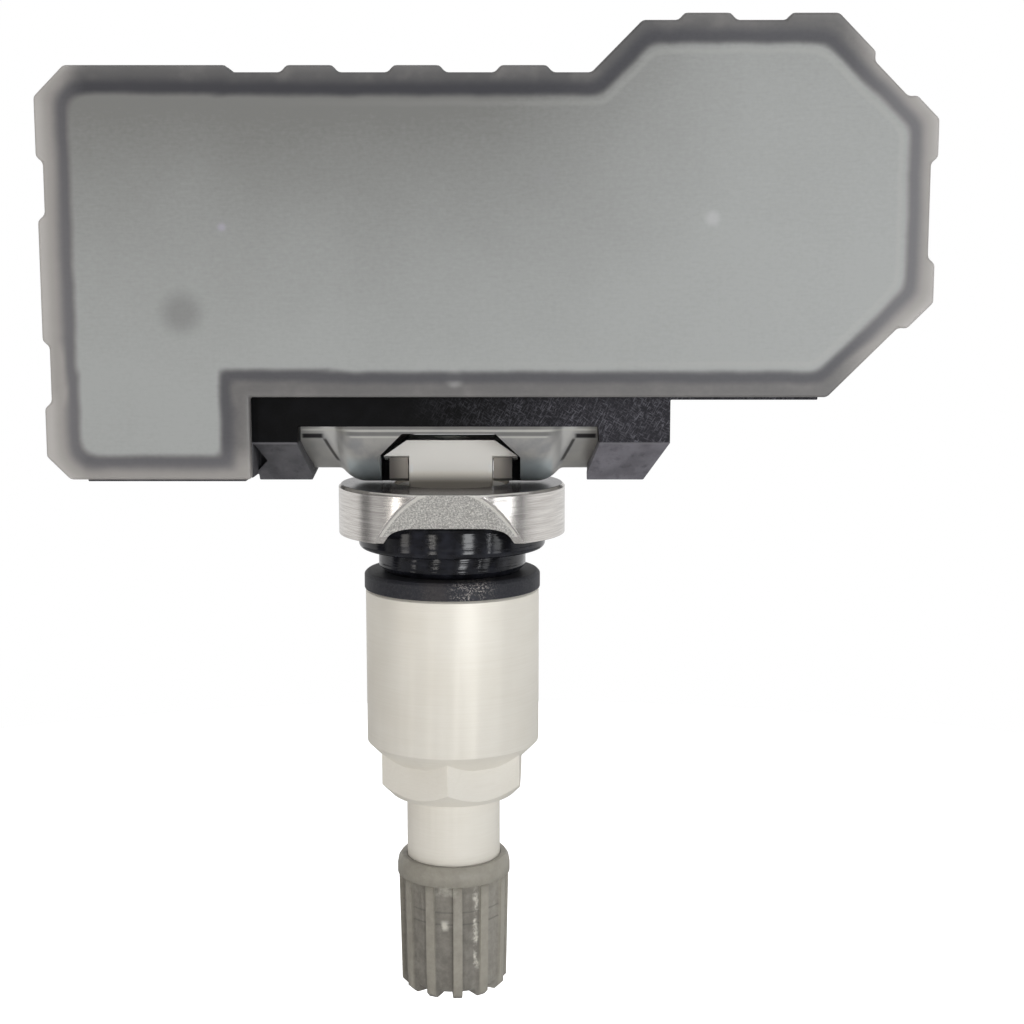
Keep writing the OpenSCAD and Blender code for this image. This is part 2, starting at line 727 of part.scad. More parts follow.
module collar() {
    r = collar_d / 2;
    inner = r - collar_wall;
    bore = shank_d / 2 + run_gap;
    ceiling = collar_z + recess_h;
    lean = atan2(flat_low - flat_high, collar_h);
    color("#b9b5ae") difference() {
        rotate_extrude($fn = 128) polygon(concat(
            [[bore, ceiling], [inner - recess_r, ceiling]],
            arc([inner - recess_r, ceiling - recess_r], recess_r, 90, 0),
            [[inner, collar_z], [r, collar_z], [r, collar_top - turned_bevel], [r - turned_bevel, collar_top],
            [bore, collar_top]]));
        translate([0, flat_low - r, collar_z]) rotate([lean, 0, 0]) translate([-r, -r, -r])
            cube([2 * r, r, 3 * r]);
    }
}

module grommet() {
    r = collar_d / 2 - collar_wall - flange_gap;
    neck = grommet_d / 2;
    edge = min(flange_round, (r - neck) / 2);
    color("#0d0d0f") rotate_extrude($fn = 128) polygon(concat(
        [[shank_d / 2 + seat_gap, flange_h], [r - edge, flange_h]],
        arc([r - edge, flange_h - edge], edge, 90, 0),
        arc([r - edge, edge], edge, 0, -90),
        [[neck, 0], [neck, -grommet_l + 2 * turned_bevel], [neck - 2 * turned_bevel, -grommet_l],
        [shank_d / 2 + seat_gap, -grommet_l]]));
}

module washer() {
    r = washer_d / 2;
    color("#3a3a3c") translate([0, 0, nut_z + rest_gap]) rotate_extrude($fn = 128) polygon([
        [shank_d / 2 + run_gap, 0], [r, 0], [r, washer_t - rest_gap - turned_bevel],
        [r - turned_bevel, washer_t - rest_gap], [shank_d / 2 + run_gap, washer_t - rest_gap]]);
}

module nut() {
    r = nut_d / 2;
    hex_r = hex_w / 2 / cos(30);
    color("#dcd7cc") difference() {
        union() {
            translate([0, 0, nut_low]) rotate_extrude($fn = 128) polygon([
                [0, 0], [r - nut_cut, 0], [r, nut_cut], [r, nut_l - 0.2], [r - 0.2, nut_l], [0, nut_l]]);
            intersection() {
                translate([0, 0, nut_end]) rotate([0, 0, hex_turn + 30]) cylinder(r = hex_r, h = hex_l + 1, $fn = 6);
                translate([0, 0, nut_end]) rotate_extrude($fn = 96) polygon([
                    [0, 0], [hex_r - hex_cut, 0], [hex_r + 1, hex_cut + 1], [hex_r + 1, hex_l + 1],
                    [0, hex_l + 1]]);
            }
        }
        translate([0, 0, -shank_l - 0.2]) cylinder(r = shank_d / 2 + run_gap, h = shank_l);
        translate([0, 0, nut_end - 1]) cylinder(r = stem_d / 2 + run_gap, h = -nut_end);
    }
}

module cap_seal() {
    color("#202022") translate([0, 0, cap_end + cap_floor]) cylinder(r = tip_d / 2 + 0.2, h = cap_seal_t);
}

module cap() {
    r = cap_d / 2;
    body = cap_body_d / 2;
    low = body - cap_taper / 2;
    ribs_top = cap_mouth - cap_rim;
    rib_r = r - 0.12;
    color("#86857f") difference() {
        union() {
            rotate_extrude($fn = 96) polygon([
                [0, cap_end], [low - 0.5, cap_end], [low, cap_end + 0.5], [body, ribs_top], [r, ribs_top + 0.2],
                [r, cap_mouth - 0.9], [r - 0.1, cap_mouth - 0.35], [r - 0.35, cap_mouth], [0, cap_mouth]]);
            intersection() {
                for (i = [0:cap_ribs - 1]) rotate([0, 0, i * 360 / cap_ribs + 6])
                    translate([-cap_rib_w / 2, -r, cap_end - rib_over])
                        cube([cap_rib_w, r - low + 1.4, ribs_top - cap_end + rib_over + 0.1]);
                rotate_extrude($fn = 96) polygon([
                    [0, cap_end - rib_over], [rib_r - cap_taper / 2 - 0.5, cap_end - rib_over],
                    [rib_r - cap_taper / 2, cap_end - rib_over + 0.5], [rib_r, ribs_top + 0.1], [0, ribs_top + 0.1]]);
            }
        }
        translate([0, 0, cap_end + cap_floor]) cylinder(r = tip_d / 2 + 0.3, h = cap_l);
        translate([0, 0, stem_low - 0.6]) cylinder(r = stem_d / 2 + run_gap, h = cap_l);
    }
}

// Core: a threaded head and a barrel that holds the spring
module core_body() {
    color("#c9a555") rotate_extrude($fn = 64) polygon([
        [core_bore, core_out], [core_d / 2, core_out], [core_d / 2, core_step - 0.5], [barrel_d / 2, core_step],
        [barrel_d / 2, core_in], [pin_d / 2 + run_gap, core_in], [pin_d / 2 + run_gap, core_in - 0.6],
        [core_bore, core_in - 0.6]]);
}
core_bore = barrel_d / 2 - 0.45;

module core_seal() {
    z = core_step + 1;
    color("#7d3b2c") rotate_extrude($fn = 64) polygon([
        [barrel_d / 2 + seat_gap, z], [seat_d / 2 - seat_gap, z], [seat_d / 2 - seat_gap, z + 1.2],
        [barrel_d / 2 + seat_gap, z + 1.2]]);
}

// Pin with the shoulder that the spring pushes on
shoulder_z = core_step - 0.4;
module core_pin() {
    color("#c9a555") rotate_extrude($fn = 48) polygon([
        [0, core_out + 0.1], [pin_d / 2, core_out + 0.1], [pin_d / 2, shoulder_z - 0.5],
        [core_bore - run_gap, shoulder_z - 0.5], [core_bore - run_gap, shoulder_z], [pin_d / 2, shoulder_z],
        [pin_d / 2, core_in + 1.6], [0, core_in + 1.6]]);
}

module core_cup() {
    color("#c9a555") translate([0, 0, core_in + rest_gap]) difference() {
        cylinder(d = barrel_d - 0.5, h = 1);
        translate([0, 0, -1]) cylinder(d = pin_d + 2 * seat_gap, h = 3);
    }
}

// Helical spring between the pin's shoulder and the barrel's end
module core_spring() {
    sides = 6;
    steps = 14;
    wire = spring_wire / 2;
    z0 = shoulder_z + wire + rest_gap;
    z1 = core_in - 0.6 - wire - rest_gap;
    coil = (core_bore + pin_d / 2) / 2;
    rings = spring_turns * steps;
    pts = [for (i = [0:rings], k = [0:sides - 1])
        let (a = 360 * i / steps, b = 360 * k / sides, r = coil + wire * cos(b))
            [r * cos(a), r * sin(a), z0 + (z1 - z0) * i / rings + wire * sin(b)]];
    walls = [for (i = [0:rings - 1], k = [0:sides - 1])
        let (p = i * sides + k, q = i * sides + (k + 1) % sides) [p, q, q + sides, p + sides]];
    first = [for (k = [0:sides - 1]) sides - 1 - k];
    last = [for (k = [0:sides - 1]) rings * sides + k];
    color("#b8bcc2") polyhedron(pts, concat([first], walls, [last]));
}

housing();
cover();
hoop();
circuit_board();
coin_cell();
cell_tab_front();
cell_tab_back();
pressure_sensor();
port_seal();
radio_chip();
wake_coil();
crystal();
capacitors();
antenna();
valve_stem();
collar();
grommet();
core_body();
core_seal();
core_pin();
core_cup();
core_spring();
washer();
nut();
cap_seal();
cap();
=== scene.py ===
"""Looks of a tyre pressure sensor on its valve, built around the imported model."""

from collections import namedtuple
from math import cos, pi, radians, sin

import bmesh
import bpy
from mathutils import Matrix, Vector


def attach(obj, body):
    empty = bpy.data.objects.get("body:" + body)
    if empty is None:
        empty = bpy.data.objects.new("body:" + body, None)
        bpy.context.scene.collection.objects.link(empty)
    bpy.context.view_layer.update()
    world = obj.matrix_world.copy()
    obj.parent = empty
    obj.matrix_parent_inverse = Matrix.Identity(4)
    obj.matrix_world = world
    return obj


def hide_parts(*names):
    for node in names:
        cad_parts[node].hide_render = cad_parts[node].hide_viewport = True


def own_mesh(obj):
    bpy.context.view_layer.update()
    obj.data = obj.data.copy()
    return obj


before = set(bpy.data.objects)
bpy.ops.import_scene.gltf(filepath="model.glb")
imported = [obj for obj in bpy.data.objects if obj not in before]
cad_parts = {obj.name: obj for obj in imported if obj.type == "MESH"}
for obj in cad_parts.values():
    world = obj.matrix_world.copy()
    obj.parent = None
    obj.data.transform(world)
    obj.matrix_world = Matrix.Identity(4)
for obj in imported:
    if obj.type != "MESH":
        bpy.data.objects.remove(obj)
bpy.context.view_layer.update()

MM = 0.001

# Sizes that the body's solids have too, in metres
SWIVEL_Z = 14 * MM
BODY_LEFT = 32 * MM
BODY_RIGHT = 38.5 * MM
BODY_LOW = -0.35 * MM
BODY_TOP = BODY_LOW + 25.6 * MM
BAY_LEFT = 15.5 * MM
BAY_RISE = 4 * MM
BAY_TOP = BODY_TOP + BAY_RISE
BAY_CUT = 7.8 * MM
LEG_SIDE = 16 * MM
LEG_LOW = BODY_LOW - 6.7 * MM
CORNER_CUT = 2.1 * MM

# How far the middle of the weld line lies inside each side of the body
WELD_LEFT = 1.8 * MM
WELD_RIGHT = 1.45 * MM
WELD_TOP = 1.27 * MM
WELD_BAY_TOP = 1.25 * MM
WELD_LOW = 1.67 * MM
WELD_FOOT = 1.45 * MM
WELD_CORNER = 1.2 * MM
WELD_BAY_CUT = 0.85 * MM
WELD_BAY_START = 0.55 * MM
WELD_ROUNDING = 0.9 * MM
SLANT_SHARE = 0.5 ** 0.5

# Soft marks under the cover: place from the swivel axis and size in mm, colour and strength
COVER_SPOTS = [
    (-21.3, 6.4, 2.4, (0.13, 0.13, 0.125, 1), 0.45),
    (21.2, 13.9, 0.9, (0.58, 0.59, 0.59, 1), 0.4),
    (7.9, 17.2, 1.2, (0.30, 0.30, 0.30, 1), 0.4),
    (-17.9, 13.2, 0.5, (0.45, 0.40, 0.52, 1), 0.5),
    (0.6, 1.2, 1.0, (0.62, 0.62, 0.6, 1), 0.5)]

# Threads of the valve: lowest and highest place, radius of crest and root, and pitch. A ridge is
# sunk in the root, and its half widths at foot and crest are shares of the pitch.
Thread = namedtuple("Thread", "low high crest root pitch")
SHANK_THREAD = Thread(-15.6 * MM, -2.3 * MM, 4.95 * MM, 4.45 * MM, 1 * MM)
TIP_THREAD = Thread(-36.8 * MM, -29.5 * MM, 3.6 * MM, 3.2 * MM, 0.794 * MM)
THREAD_STEPS = 48
THREAD_SUNK = 0.05 * MM
THREAD_HALF_FOOT = 0.46
THREAD_HALF_CREST = 0.08

# Height of the step at each end of a recess
RECESS_STEP = 0.002 * MM

# Distances under which points count as one, in the solids and after the rounding of edges
SOLID_DOUBLES = 0.001 * MM
BEVEL_DOUBLES = 0.002 * MM

# Angles up to which faces are joined as flat, and over which an edge shades as sharp or is rounded
FLAT_ANGLE = radians(0.6)
SHARP_ANGLE = radians(32)
BEVEL_ANGLE = radians(30)

# Place of the camera, found from the valve's rings in the photograph
CAMERA_PLACE = Vector((5.24, -142.45, 22.22)) * MM
CAMERA_TILT = radians(90 - 7.69)
CAMERA_LENS = 57.73
CAMERA_SENSOR = 36
CAMERA_NEAR = 1 * MM

# Point that the lamps look at, and their distance from it, in metres
LAMP_TARGET = Vector((2, 0, 5)) * MM
LAMP_AWAY = 0.4

# Tints of the lamps on the left and on the right
WARM = (1.0, 0.965, 0.92)
COOL = (0.97, 0.985, 1.0)

# Lamps: name, angles from the front, width and height in metres, level and tint. The boxes light
# the object, and the narrow strips show on the black rubber.
LAMPS = [
    ("left_box", -57, 6, 0.07, 0.36, 2.8, WARM),
    ("right_box", 58, 6, 0.07, 0.36, 2.5, COOL),
    ("front_box", 21, -9, 0.075, 0.36, 8.7, COOL),
    ("top_box", 4, 62, 0.42, 0.24, 0.9, COOL),
    ("left_strip", -20, -4, 0.009, 0.30, 11, WARM),
    ("outer_left_strip", -24, -4, 0.009, 0.30, 11, WARM),
    ("far_strip", 47, -4, 0.010, 0.30, 9, COOL)]

# Room round the object, as metal and gloss mirror it. Its flags are dark upright bands, each with
# the angle of its middle from the front, half its width and its blur.
WHITE = (1, 1, 1, 1)
ROOM_FRONT = (0.18, 0.18, 0.185, 1)
ROOM_BACK = (0.74, 0.74, 0.74, 1)
ROOM_BACK_FROM = radians(62)
ROOM_BACK_FULL = radians(100)
FLAG_LEVEL = (0.04, 0.04, 0.045, 1)
FLAG_LEFT = (radians(-95), radians(5), radians(6))
FLAG_RIGHT = (radians(73), radians(4), radians(5))

FLOOR_Z = -80 * MM
FLOOR_RADIUS = 0.26
FLOOR_PAINT = (0.8, 0.8, 0.8, 1)
FLOOR_MIRRORED = (0.45, 0.45, 0.45, 1)


def srgb(red, green, blue):
    """A colour given as the photograph shows it, from 0 to 255, as linear light."""
    def linear(level):
        share = level / 255
        return share / 12.92 if share <= 0.04045 else ((share + 0.055) / 1.055) ** 2.4
    return (linear(red), linear(green), linear(blue), 1)


class Wire:
    """A node's output, which Python's operators work on."""

    def __init__(self, graph, socket):
        self.graph = graph
        self.socket = socket

    def math(self, operation, *others):
        return self.graph.node("ShaderNodeMath", {"operation": operation}, [self, *others])

    def __add__(self, other):
        return self.math("ADD", other)

    def __sub__(self, other):
        return self.math("SUBTRACT", other)

    def __rsub__(self, other):
        return self.graph.node("ShaderNodeMath", {"operation": "SUBTRACT"}, [other, self])

    def __mul__(self, other):
        return self.math("MULTIPLY", other)

    def __truediv__(self, other):
        return self.math("DIVIDE", other)

    def __pow__(self, other):
        return self.math("POWER", other)

    __radd__ = __add__
    __rmul__ = __mul__

    def least(self, other, blur=0.0):
        """The smaller of two values, with a soft change over blur."""
        return self.math("SMOOTH_MIN", other, blur)

    def most(self, other, blur=0.0):
        """The larger of two values, with a soft change over blur."""
        return self.math("SMOOTH_MAX", other, blur)

    def rise(self, low, high):
        """0 below low, 1 above high and a smooth rise between them."""
        settings = {"interpolation_type": "SMOOTHSTEP"}
        values = {"Value": self, "From Min": low, "From Max": high}
        return self.graph.node("ShaderNodeMapRange", settings, values)

    def fall(self, low, high):
        """1 below low, 0 above high and a smooth fall between them."""
        return 1 - self.rise(low, high)

    def band(self, middle, half, blur):
        """1 within half of the middle, and 0 past the blur on either side."""
        return (self - middle).math("ABSOLUTE").fall(half, half + blur)


class Graph:
    """A node tree that is filled by expressions on wires."""

    def __init__(self, tree):
        self.nodes = tree.nodes
        self.links = tree.links

    def put(self, socket, value):
        if isinstance(value, Wire):
            self.links.new(value.socket, socket)
        else:
            socket.default_value = value

    def node(self, kind, settings=None, values=(), output=0):
        """A new node with its settings and socket values, as the wire of one output."""
        made = self.nodes.new(kind)
        for name, value in (settings or {}).items():
            setattr(made, name, value)
        pairs = values.items() if isinstance(values, dict) else enumerate(values)
        for key, value in pairs:
            self.put(made.inputs[key], value)
        return Wire(self, made.outputs[output])

    def place(self):
        """Object coordinates, in metres."""
        return self.node("ShaderNodeTexCoord", output="Object")

    def parts(self, vector):
        """The three parts of a vector."""
        split = self.nodes.new("ShaderNodeSeparateXYZ")
        self.put(split.inputs[0], vector)
        return [Wire(self, socket) for socket in split.outputs]

    def vector(self, x, y, z):
        return self.node("ShaderNodeCombineXYZ", values=[x, y, z])

    def round_place(self):
        """Distance from the valve axis, angle about it and height."""
        x, y, z = self.parts(self.place())
        radius = (x * x + y * y).math("SQRT")
        return radius, y.math("ARCTAN2", x), z

    def noise(self, size, detail, rough=0.5, at=None):
        """Noise from 0 to 1 whose lumps are about size across."""
        values = {"Vector": at or self.place(), "Scale": 1 / size}
        values.update({"Detail": detail, "Roughness": rough})
        return self.node("ShaderNodeTexNoise", None, values)

    def speckle(self, size):
        """Random level of each small cell."""
        values = {"Vector": self.place(), "Scale": 1 / size}
        cells = self.node("ShaderNodeTexVoronoi", None, values, "Color")
        return self.node("ShaderNodeSeparateColor", None, [cells])

    def mix(self, first, second, share):
        """A colour between two colours."""
        return self.node("ShaderNodeMix", {"data_type": "RGBA"}, {0: share, 6: first, 7: second}, 2)

    def coat(self, colour, *coats):
        """A colour under coats, each of which is a tone and the share that it hides."""
        for tone, share in coats:
            colour = self.mix(colour, tone, share)
        return colour

    def bump(self, height, depth):
        """Surface normal of a relief that is depth deep where height goes from 0 to 1."""
        return self.node("ShaderNodeBump", None, {"Height": height, "Distance": depth})

    def streaks(self, along, across, detail=3):
        """Turning marks round the valve axis: along is their length, across their pitch."""
        middle_radius = 7 * MM
        radius, angle, z = self.round_place()
        turn = self.vector(angle * (middle_radius / along), radius / across, z / across)
        return self.noise(1, detail, 0.6, turn)


class Finish(Graph):
    """A procedural material. Its recipe builds nodes and hands their wires to its shader."""

    def __init__(self, name, **constants):
        self.material = bpy.data.materials.new(name)
        self.material.use_nodes = True
        super().__init__(self.material.node_tree)
        self.shader = self.nodes["Principled BSDF"]
        self.set(**constants)

    def set(self, **values):
        """Puts values on the shader's sockets: base_color sets Base Color."""
        for name, value in values.items():
            key = name.replace("_", " ").title()
            self.put(self.shader.inputs[key.replace("Ior", "IOR")], value)
        return self.material


def weld_distance(finish, x, up):
    """Distance inwards from the middle of the weld line, in metres, over the cover's face."""
    left = x + (BODY_LEFT - WELD_LEFT)
    right = (BODY_RIGHT - WELD_RIGHT) - x
    top = (BODY_TOP - WELD_TOP) - up
    bay_top = (BAY_TOP - WELD_BAY_TOP) - up
    low = up - (BODY_LOW + WELD_LOW)
    foot = up - (LEG_LOW + WELD_FOOT)
    leg_side = (-LEG_SIDE - WELD_LEFT) - x
    corner = CORNER_CUT - WELD_CORNER
    bay_cut = BAY_CUT - WELD_BAY_CUT
    bay_start = (x - BAY_LEFT - WELD_BAY_START + bay_top) * SLANT_SHARE

    def nearest(first, *others):
        for other in others:
            first = first.least(other, WELD_ROUNDING)
        return first

    top_left = nearest(left, top, (left + top - corner) * SLANT_SHARE)
    leg = nearest(top_left, foot, leg_side, (left + foot - corner) * SLANT_SHARE)
    ends = nearest(right, low, (right + low - bay_cut) * SLANT_SHARE)
    ends = nearest(ends, (right + bay_top - bay_cut) * SLANT_SHARE)
    bay = nearest(ends, bay_top, bay_start)
    return leg.most(nearest(ends, top_left), WELD_ROUNDING).most(bay, WELD_ROUNDING)


def frosted_cover():
    """Frosted plate: a soft dark weld line inside a translucent border, and a milky middle."""
    finish = Finish("frosted_cover", coat_weight=0.08, coat_roughness=0.3, ior=1.5)
    x, _, height = finish.parts(finish.place())
    up = height - SWIVEL_Z
    wander = (finish.noise(3 * MM, 3) - 0.5) * 0.35 * MM
    inside = weld_distance(finish, x, up) + wander
    cloud = finish.noise(7 * MM, 4)
    grain = finish.noise(0.35 * MM, 3)
    moulding_flow = finish.vector(x / (0.9 * MM), 0.0, up / (0.22 * MM))
    flow = finish.noise(1, 3, 0.6, moulding_flow)

    # Painted shade: the middle is darkest at the top left
    shadow = ((up + 1.5 * MM) / (23.5 * MM)) ** 1.8 * (1 - 0.84 * x.rise(1 * MM, 25 * MM))
    shade = 1 - shadow + (cloud - 0.5) * 0.3 + (flow - 0.5) * 0.3 + (grain - 0.5) * 0.3
    middle = finish.mix(srgb(124, 124, 121), srgb(166, 168, 166), shade)

    # The border is paler at both ends and the leg's foot, with a painted highlight along its rim
    left_end = (x + BODY_LEFT).fall(1.2 * MM, 4.4 * MM)
    ends = left_end.most((x - BODY_RIGHT).rise(-8 * MM, -2 * MM))
    foot = up.fall(-6.5 * MM, -3.5 * MM)
    # Painted shade: the border follows the middle's shade a little
    border_light = (ends.most(foot * 0.6) * 0.85 + shade * 0.3).rise(0.05, 1.0)
    rim = (inside + 1.5 * MM).fall(-0.5 * MM, 0.5 * MM)
    border = finish.coat(
        srgb(92, 91, 91),
        (srgb(160, 156, 152), border_light),
        (srgb(146, 142, 139), finish.noise(2.2 * MM, 4).rise(0.45, 0.8) * 0.3),
        (srgb(196, 192, 188), rim * (0.15 + 0.5 * ends)))

    # The weld line is narrower above the hoop; a painted highlight runs along its inner edge
    above_hoop = up.band(1.5 * MM, 1 * MM, 2 * MM)
    outer_side = (inside * (1 + above_hoop * 0.7)).rise(-1.15 * MM, -0.05 * MM)
    weld = inside.fall(0.15 * MM, 0.85 * MM) * outer_side
    # Painted shade: the weld's tone follows the middle's shade
    weld_light = ends.most(foot * 0.7) * 0.55 + shade * 0.4
    weld_tone = finish.mix(srgb(52, 52, 58), srgb(106, 105, 108), weld_light)
    inner_edge_highlight = inside.band(1.15 * MM, 0.05 * MM, 0.3 * MM) * x.rise(-20 * MM, 34 * MM)

    colour = finish.coat(
        border, (middle, inside.rise(0.1 * MM, 0.85 * MM)), (srgb(178, 178, 174), inner_edge_highlight * 0.3))
    for spot_x, spot_up, size, tone, share in COVER_SPOTS:
        away = ((x - spot_x * MM) ** 2 + (up - spot_up * MM) ** 2).math("SQRT")
        colour = finish.mix(colour, tone, away.fall(0.2 * size * MM, size * MM) * share)
    colour = finish.mix(colour, weld_tone, weld * 0.95)
    return finish.set(
        base_color=colour, roughness=0.42 + 0.12 * cloud,
        normal=finish.bump(grain * 0.25 - weld * 0.6, 0.03 * MM))


def black_moulding():
    """Black glass-filled plastic: ledge scratches, painted front shade and painted sheen on facets.
    """
    finish = Finish("black_moulding", ior=1.5, specular_ior_level=0.14)
    x, y, z = finish.parts(finish.place())
    grain = finish.noise(0.16 * MM, 4, 0.7)
    stains = finish.noise(2 * MM, 4)

    # Ledge between the arms' facets and the cover, and what lies behind or above its face
    front = y.fall(-8.1 * MM, -7.8 * MM)
    ledge = front * z.rise(9.75 * MM, 9.9 * MM) * z.fall(13.7 * MM, 13.9 * MM)
    ledge_edge = front * z.band(9.78 * MM, 0.03 * MM, 0.1 * MM)
    behind = y.rise(-7.6 * MM, -5 * MM).most(z.rise(14.0 * MM, 14.4 * MM))
    behind_tone = finish.mix(srgb(34, 34, 37), srgb(58, 58, 62), grain * 0.6 + stains * 0.4)

    # Two sets of scratches cross each other, most of them on the ledge's right half
    lean = x * 0.5 + z * 0.85
    cross = x * 0.85 - z * 0.5
    length, width = 0.6 * MM, 0.11 * MM
    falling = finish.noise(1, 4, 0.65, finish.vector(lean / length, cross / width, y / length))
    rising = finish.noise(1, 4, 0.65, finish.vector(lean / width, cross / length, y / length))
    worn = x.rise(-6 * MM, 15 * MM) * (0.35 + 0.65 * stains.rise(0.3, 0.65))
    marks = falling.most(rising * 0.97).rise(0.48, 0.68) * ledge * worn

    # Painted sheen: the arms' facets are greyed for the light they reflect
    facet = z.fall(9.7 * MM, 9.9 * MM) * (0.6 + 0.4 * stains.rise(0.25, 0.7))
    facet = facet * y.fall(-4 * MM, 0.0)
    smears = finish.noise(0.9 * MM, 5, 0.65).rise(0.5, 0.8) * 0.6
    facet_sheen = finish.coat(
        srgb(94, 93, 96),
        (srgb(118, 116, 122), x.rise(-8 * MM, 8 * MM)),
        (srgb(62, 60, 64), smears))

    # Painted shade makes the ledge and front near black; behind and above, the plastic has its own
    # grey
    colour = finish.coat(
        srgb(2, 2, 3),
        (srgb(12, 12, 15), stains.rise(0.35, 0.8)),
        (srgb(46, 45, 50), ledge * x.rise(0, 14 * MM) * 0.85),
        (behind_tone, behind),
        (facet_sheen, facet),
        (srgb(118, 117, 124), marks * 0.8),
        (srgb(126, 124, 128), ledge_edge * 0.6))
    etched = finish.noise(0.3 * MM, 3, 0.6) * behind * 4
    return finish.set(
        base_color=colour, roughness=0.5 + 0.2 * grain,
        normal=finish.bump(grain - marks + etched, 0.015 * MM))


def stamped_steel():
    """Satin spring steel with pressed slots and dark bends, and painted shade in reliefs by the
    keyhole.
    """
    finish = Finish("stamped_steel")
    x, y, z = finish.parts(finish.place())
    side = x.math("ABSOLUTE")
    outside = y.fall(-4 * MM, -3 * MM)
    drawing = finish.vector(x / (1.6 * MM), y / (0.12 * MM), z / (0.12 * MM))
    drawn = finish.noise(1, 4, 0.6, drawing)
    stains = finish.noise(1.5 * MM, 4)

    # Bends and ears at both ends, along a line that leans outwards with height
    lean = side - (z - 8 * MM) * 0.47
    bend = lean.band(9.5 * MM, 0.06 * MM, 0.16 * MM) * z.band(8.9 * MM, 0.9 * MM, 0.3 * MM)
    # Painted highlight just inside the bends
    bend_highlight = lean.band(8.6 * MM, 0.25 * MM, 0.7 * MM)
    ear = lean.rise(9.6 * MM, 9.9 * MM)
    slot = side.band(11.4 * MM, 0.7 * MM, 0.35 * MM) * z.band(10.2 * MM, 0.12 * MM, 0.16 * MM)

    # Top edge: a darker crest, two painted highlight lines and a darker strip between them
    crest = z.rise(10.82 * MM, 10.9 * MM) * outside * side.fall(7 * MM, 10 * MM)
    upper_highlight = z.band(10.74 * MM, 0.04 * MM, 0.1 * MM) * side.fall(12 * MM, 12.5 * MM)
    strip = z.band(10.47 * MM, 0.1 * MM, 0.12 * MM) * outside * side.fall(8 * MM, 9 * MM)
    lower_highlight = z.band(10.2 * MM, 0.03 * MM, 0.1 * MM) * side.band(5.4 * MM, 2.6 * MM, 0.4 * MM)

    # Painted bluish reflection low on the flanks, the window's cut edge, painted shade in the
    # slot's reliefs
    flank_reflection = z.fall(7.4 * MM, 8.8 * MM) * side.band(7.2 * MM, 1.2 * MM, 0.5 * MM)
    cut = y.band(-2.68 * MM, 0.1 * MM, 0.06 * MM) * side.fall(5.9 * MM, 6.1 * MM)
    cut_tone = finish.mix(srgb(152, 146, 138), srgb(98, 94, 90), side.rise(3.7 * MM, 5.2 * MM))
    relief = side.band(5.6 * MM, 0.36 * MM, 0.04 * MM)
    relief = relief * y.rise(-2.66 * MM, -1.9 * MM) * y.fall(1 * MM, 2 * MM)

    colour = finish.coat(
        srgb(204, 202, 197),
        (srgb(176, 176, 177), stains.rise(0.3, 0.75)),
        (srgb(236, 235, 231), bend_highlight * 0.8),
        (srgb(186, 184, 178), ear * 0.6),
        (srgb(200, 214, 218), flank_reflection * 0.7),
        (srgb(232, 231, 224), upper_highlight.most(lower_highlight) * outside * 0.75),
        (srgb(58, 54, 54), bend * outside * 0.85),
        (srgb(34, 32, 34), slot * outside),
        (srgb(140, 139, 137), strip * 0.8),
        (srgb(140, 138, 136), crest * 0.8),
        (cut_tone, cut),
        (srgb(16, 16, 18), relief))
    return finish.set(
        base_color=colour, metallic=0.7 - 0.5 * slot, roughness=0.34 + 0.14 * stains + 0.08 * drawn,
        normal=finish.bump(drawn * 0.3 - slot - bend * 0.6, 0.02 * MM))


def champagne_aluminium(name, metallic, paint_head_light=False):
    """Blasted and anodised aluminium with the last trace of its turning marks."""
    finish = Finish(name, metallic=metallic, ior=1.5)
    marks = finish.streaks(5 * MM, 0.12 * MM)
    blast = finish.noise(0.09 * MM, 3, 0.7)
    tone = finish.noise(5 * MM, 2)
    light = tone.rise(0.2, 0.8) * 0.35 + marks * 0.65
    colour = finish.mix(srgb(237, 231, 218), srgb(250, 246, 236), light)
    if paint_head_light:
        # Painted light: a paler head and glints on the neck's corners; painted shade on the foot
        x, y, z = finish.parts(finish.place())
        head_painted_light = z.rise(6.6 * MM, 7.1 * MM)
        foot = z.rise(5.2 * MM, 5.3 * MM) * z.fall(5.9 * MM, 6.9 * MM) * y.fall(-2 * MM, 0.0)
        neck_side = x.math("ABSOLUTE").band(3.4 * MM, 0.12 * MM, 0.14 * MM)
        glint = neck_side * z.band(7.15 * MM, 0.2 * MM, 0.25 * MM)
        colour = finish.coat(
            colour, (srgb(253, 250, 243), head_painted_light), (srgb(98, 92, 84), foot * 0.85),
            (srgb(253, 252, 248), glint * tone.rise(0.2, 0.5)))
    return finish.set(
        base_color=colour, roughness=0.42 + 0.1 * blast,
        normal=finish.bump(blast * 0.6 + marks * 0.5, 0.006 * MM))


